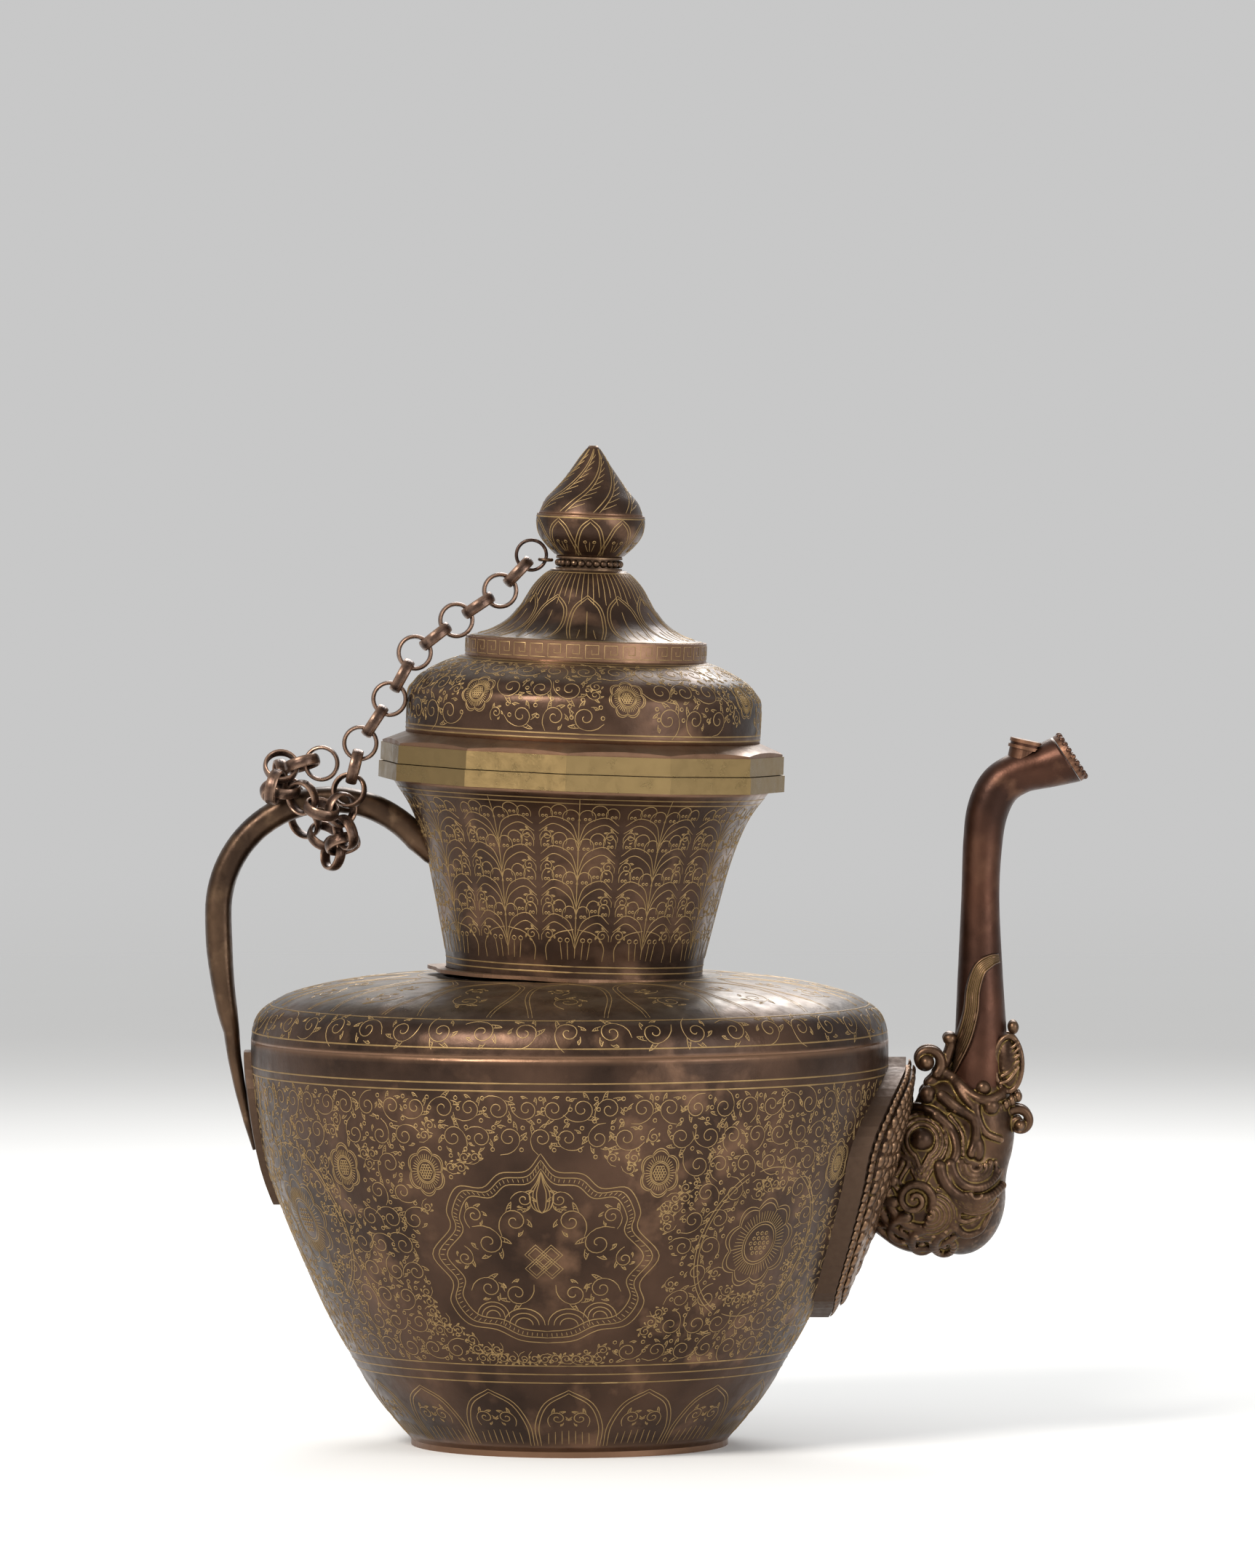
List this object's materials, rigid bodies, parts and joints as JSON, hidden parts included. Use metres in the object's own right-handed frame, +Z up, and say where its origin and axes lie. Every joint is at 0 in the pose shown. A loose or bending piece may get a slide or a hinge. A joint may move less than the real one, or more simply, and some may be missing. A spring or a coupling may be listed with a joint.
{
  "type": "lidded spouted water jug",
  "caption": "Engraved copper water jug with brass rims, lidded neck, bow handle, sea-monster spout and a chain tying the lid to the handle.",
  "frame": {"origin": "centre of the foot on the resting plane", "axes": "+Z up, +X towards the spout, -X towards the handle"},
  "size_m": [0.3006, 0.2172, 0.3402],
  "materials": {
    "copper": "dark patinated copper, engraved",
    "brass": "satin, tarnished",
    "gilt": "worn gilt relief with dark recesses",
    "chain": "rubbed dark copper"
  },
  "bodies": {
    "pot": {"base_plate": "copper", "body_bowl": "copper", "shoulder_dome": "copper", "neck": "copper", "neck_seam_flange": "copper", "neck_rim": "brass", "handle_bow": "copper", "handle_leaf": "copper", "spout_plate": "copper", "spout_plate_ornament": "gilt", "makara_head": "gilt", "makara_eyes": "gilt", "makara_cheek_fins": "gilt", "makara_tongue": "gilt", "makara_snout_curl": "gilt", "makara_ear_leaves": "gilt", "makara_jaw_curl": "gilt", "spout_tube": "copper", "spout_mouth_ring": "brass", "spout_top_collar": "copper", "spout_ribbon": "gilt"},
    "lid": {"lid_rim": "brass", "lid_plug": "copper", "lid_flange": "copper", "lid_drum": "copper", "lid_key_band": "copper", "lid_bell": "copper", "bead_collar": "brass", "finial_cup": "copper", "finial_bud": "copper", "finial_eye": "brass"},
    "finial_ring": {"finial_ring": "chain"},
    "run_link_01": {"run_link_01": "chain"},
    "run_link_02": {"run_link_02": "chain"},
    "run_link_03": {"run_link_03": "chain"},
    "run_link_04": {"run_link_04": "chain"},
    "run_link_05": {"run_link_05": "chain"},
    "run_link_06": {"run_link_06": "chain"},
    "run_link_07": {"run_link_07": "chain"},
    "run_link_08": {"run_link_08": "chain"},
    "run_link_09": {"run_link_09": "chain"},
    "run_link_10": {"run_link_10": "chain"},
    "run_link_11": {"run_link_11": "chain"},
    "loop_link_01": {"loop_link_01": "chain"},
    "loop_link_02": {"loop_link_02": "chain"},
    "loop_link_03": {"loop_link_03": "chain"},
    "loop_link_04": {"loop_link_04": "chain"},
    "loop_link_05": {"loop_link_05": "chain"},
    "loop_link_06": {"loop_link_06": "chain"},
    "loop_link_07": {"loop_link_07": "chain"},
    "loop_link_08": {"loop_link_08": "chain"},
    "loop_link_09": {"loop_link_09": "chain"},
    "loop_link_10": {"loop_link_10": "chain"},
    "loop_link_11": {"loop_link_11": "chain"},
    "loop_link_12": {"loop_link_12": "chain"},
    "loop_link_13": {"loop_link_13": "chain"},
    "loop_link_14": {"loop_link_14": "chain"},
    "loop_link_15": {"loop_link_15": "chain"},
    "loop_link_16": {"loop_link_16": "chain"},
    "loop_link_17": {"loop_link_17": "chain"}
  },
  "joints": [
    {"name": "lid_lift", "type": "slide", "parent": "pot", "child": "lid", "axis": [0.0366, 0, 0.9993], "range_m": [0, 0.003]},
    {"name": "finial_ring_swing", "type": "hinge", "parent": "lid", "child": "finial_ring", "pos_m": [-0.00813, 0, 0.30135], "axis": [0, 1, 0], "range_deg": [-32.1, 2]},
    {"name": "chain_fold_1", "type": "hinge", "parent": "pot", "child": "run_link_01", "pos_m": [-0.0748, -0.0107, 0.2233], "axis": [0, 1, 0], "range_deg": [-1, 3.4]},
    {"name": "chain_sway_1", "type": "hinge", "parent": "run_link_01", "child": "run_link_02", "pos_m": [-0.07288, -0.01064, 0.23129], "axis": [-0.9723, 0, 0.2338], "range_deg": [-6, 1.5]},
    {"name": "chain_fold_2", "type": "hinge", "parent": "run_link_02", "child": "run_link_03", "pos_m": [-0.07096, -0.01057, 0.23927], "axis": [0, 1, 0], "range_deg": [-8.7, 1]},
    {"name": "chain_sway_2", "type": "hinge", "parent": "run_link_03", "child": "run_link_04", "pos_m": [-0.06601, -0.01081, 0.2468], "axis": [-0.8358, 0, 0.5491], "range_deg": [-2, 4]},
    {"name": "chain_fold_3", "type": "hinge", "parent": "run_link_04", "child": "run_link_05", "pos_m": [-0.06106, -0.01105, 0.25434], "axis": [0, 1, 0], "range_deg": [-1, 3.9]},
    {"name": "chain_sway_3", "type": "hinge", "parent": "run_link_05", "child": "run_link_06", "pos_m": [-0.05679, -0.00996, 0.26216], "axis": [-0.8777, 0, 0.4792], "range_deg": [-2, 4]},
    {"name": "chain_fold_4", "type": "hinge", "parent": "run_link_06", "child": "run_link_07", "pos_m": [-0.05252, -0.00888, 0.26998], "axis": [0, 1, 0], "range_deg": [-1, 1.8]},
    {"name": "chain_sway_4", "type": "hinge", "parent": "run_link_07", "child": "run_link_08", "pos_m": [-0.04548, -0.00748, 0.27545], "axis": [-0.6136, 0, 0.7896], "range_deg": [-2, 4]},
    {"name": "chain_fold_5", "type": "hinge", "parent": "run_link_08", "child": "run_link_09", "pos_m": [-0.03844, -0.00608, 0.28092], "axis": [0, 1, 0], "range_deg": [-1, 1.5]},
    {"name": "chain_sway_5", "type": "hinge", "parent": "run_link_09", "child": "run_link_10", "pos_m": [-0.031, -0.00473, 0.2859], "axis": [-0.5562, 0, 0.831], "range_deg": [-2, 4]},
    {"name": "chain_fold_6", "type": "hinge", "parent": "run_link_10", "child": "run_link_11", "pos_m": [-0.02356, -0.00338, 0.29088], "axis": [0, 1, 0], "range_deg": [-1, 5]},
    {"name": "loop_rock_01", "type": "hinge", "parent": "pot", "child": "loop_link_01", "pos_m": [-0.0748, -0.0107, 0.2233], "axis": [0.3413, 0.1104, 0.9335], "range_deg": [-1, 3]},
    {"name": "loop_rock_02", "type": "hinge", "parent": "pot", "child": "loop_link_02", "pos_m": [-0.0775, -0.0115, 0.2167], "axis": [0.5803, 0.5503, -0.6003], "range_deg": [-4, 2]},
    {"name": "loop_rock_03", "type": "hinge", "parent": "pot", "child": "loop_link_03", "pos_m": [-0.084, -0.0161, 0.2171], "axis": [-0.9519, -0.0601, 0.3006], "range_deg": [-7, 6]},
    {"name": "loop_rock_04", "type": "hinge", "parent": "pot", "child": "loop_link_04", "pos_m": [-0.0906, -0.0123, 0.2208], "axis": [-0.7888, 0.4493, 0.4194], "range_deg": [-12, 15]},
    {"name": "loop_rock_05", "type": "hinge", "parent": "pot", "child": "loop_link_05", "pos_m": [-0.0972, -0.0085, 0.2242], "axis": [-0.5103, 0.7504, 0.4202], "range_deg": [-4, 5]},
    {"name": "loop_rock_06", "type": "hinge", "parent": "pot", "child": "loop_link_06", "pos_m": [-0.0985, -0.0006, 0.2274], "axis": [-0.1505, 0.9835, -0.1004], "range_deg": [-6, 11]},
    {"name": "loop_rock_07", "type": "hinge", "parent": "pot", "child": "loop_link_07", "pos_m": [-0.0995, 0.0065, 0.2227], "axis": [0.2493, 0.8178, -0.5186], "range_deg": [-6, 5]},
    {"name": "loop_rock_08", "type": "hinge", "parent": "pot", "child": "loop_link_08", "pos_m": [-0.0945, 0.0123, 0.2192], "axis": [0.5887, 0.3892, -0.7085], "range_deg": [-8, 4]},
    {"name": "loop_rock_09", "type": "hinge", "parent": "pot", "child": "loop_link_09", "pos_m": [-0.0904, 0.0126, 0.2117], "axis": [0.6509, -0.1102, -0.7511], "range_deg": [-12, 9]},
    {"name": "loop_rock_10", "type": "hinge", "parent": "pot", "child": "loop_link_10", "pos_m": [-0.0836, 0.0104, 0.2067], "axis": [0.6, -0.48, -0.64], "range_deg": [-10, 10]},
    {"name": "loop_rock_11", "type": "hinge", "parent": "pot", "child": "loop_link_11", "pos_m": [-0.0806, 0.0047, 0.2013], "axis": [0.4587, -0.8775, -0.1396], "range_deg": [-7, 15]},
    {"name": "loop_rock_12", "type": "hinge", "parent": "pot", "child": "loop_link_12", "pos_m": [-0.0772, -0.0018, 0.2047], "axis": [0.2803, -0.831, 0.4806], "range_deg": [-8, 15]},
    {"name": "loop_rock_13", "type": "hinge", "parent": "pot", "child": "loop_link_13", "pos_m": [-0.0761, -0.0086, 0.2089], "axis": [-0.0199, -0.6282, 0.7778], "range_deg": [-8, 5]},
    {"name": "loop_rock_14", "type": "hinge", "parent": "pot", "child": "loop_link_14", "pos_m": [-0.0999, -0.0141, 0.2245], "axis": [-0.08, -0.23, 0.9699], "range_deg": [-9, 11]},
    {"name": "loop_rock_15", "type": "hinge", "parent": "pot", "child": "loop_link_15", "pos_m": [-0.0978, -0.0102, 0.2314], "axis": [0.7122, 0.3611, 0.6019], "range_deg": [-5, 12]},
    {"name": "loop_rock_16", "type": "hinge", "parent": "pot", "child": "loop_link_16", "pos_m": [-0.0907, -0.0094, 0.2323], "axis": [0.9863, 0.1494, 0.0697], "range_deg": [-9.8, 8.1]},
    {"name": "loop_rock_17", "type": "hinge", "parent": "pot", "child": "loop_link_17", "pos_m": [-0.0842, -0.0082, 0.2323], "axis": [-0.9835, -0.1807, 0], "range_deg": [-10.5, 13.5]}
  ],
  "couplings": [
    {"joint": "finial_ring_swing", "follows": "lid_lift", "rad_per_m": -179.8},
    {"joint": "chain_fold_1", "follows": "lid_lift", "rad_per_m": 14.2},
    {"joint": "chain_fold_2", "follows": "lid_lift", "rad_per_m": -44.8},
    {"joint": "chain_sway_2", "follows": "chain_sway_1", "ratio": -0.5},
    {"joint": "chain_fold_3", "follows": "lid_lift", "rad_per_m": 16.8},
    {"joint": "chain_sway_3", "follows": "chain_sway_1", "ratio": -0.5},
    {"joint": "chain_fold_4", "follows": "lid_lift", "rad_per_m": 4.9},
    {"joint": "chain_sway_4", "follows": "chain_sway_1", "ratio": -0.5},
    {"joint": "chain_fold_5", "follows": "lid_lift", "rad_per_m": 2.9},
    {"joint": "chain_sway_5", "follows": "chain_sway_1", "ratio": -0.17},
    {"joint": "chain_fold_6", "follows": "lid_lift", "rad_per_m": 23.2}
  ]
}
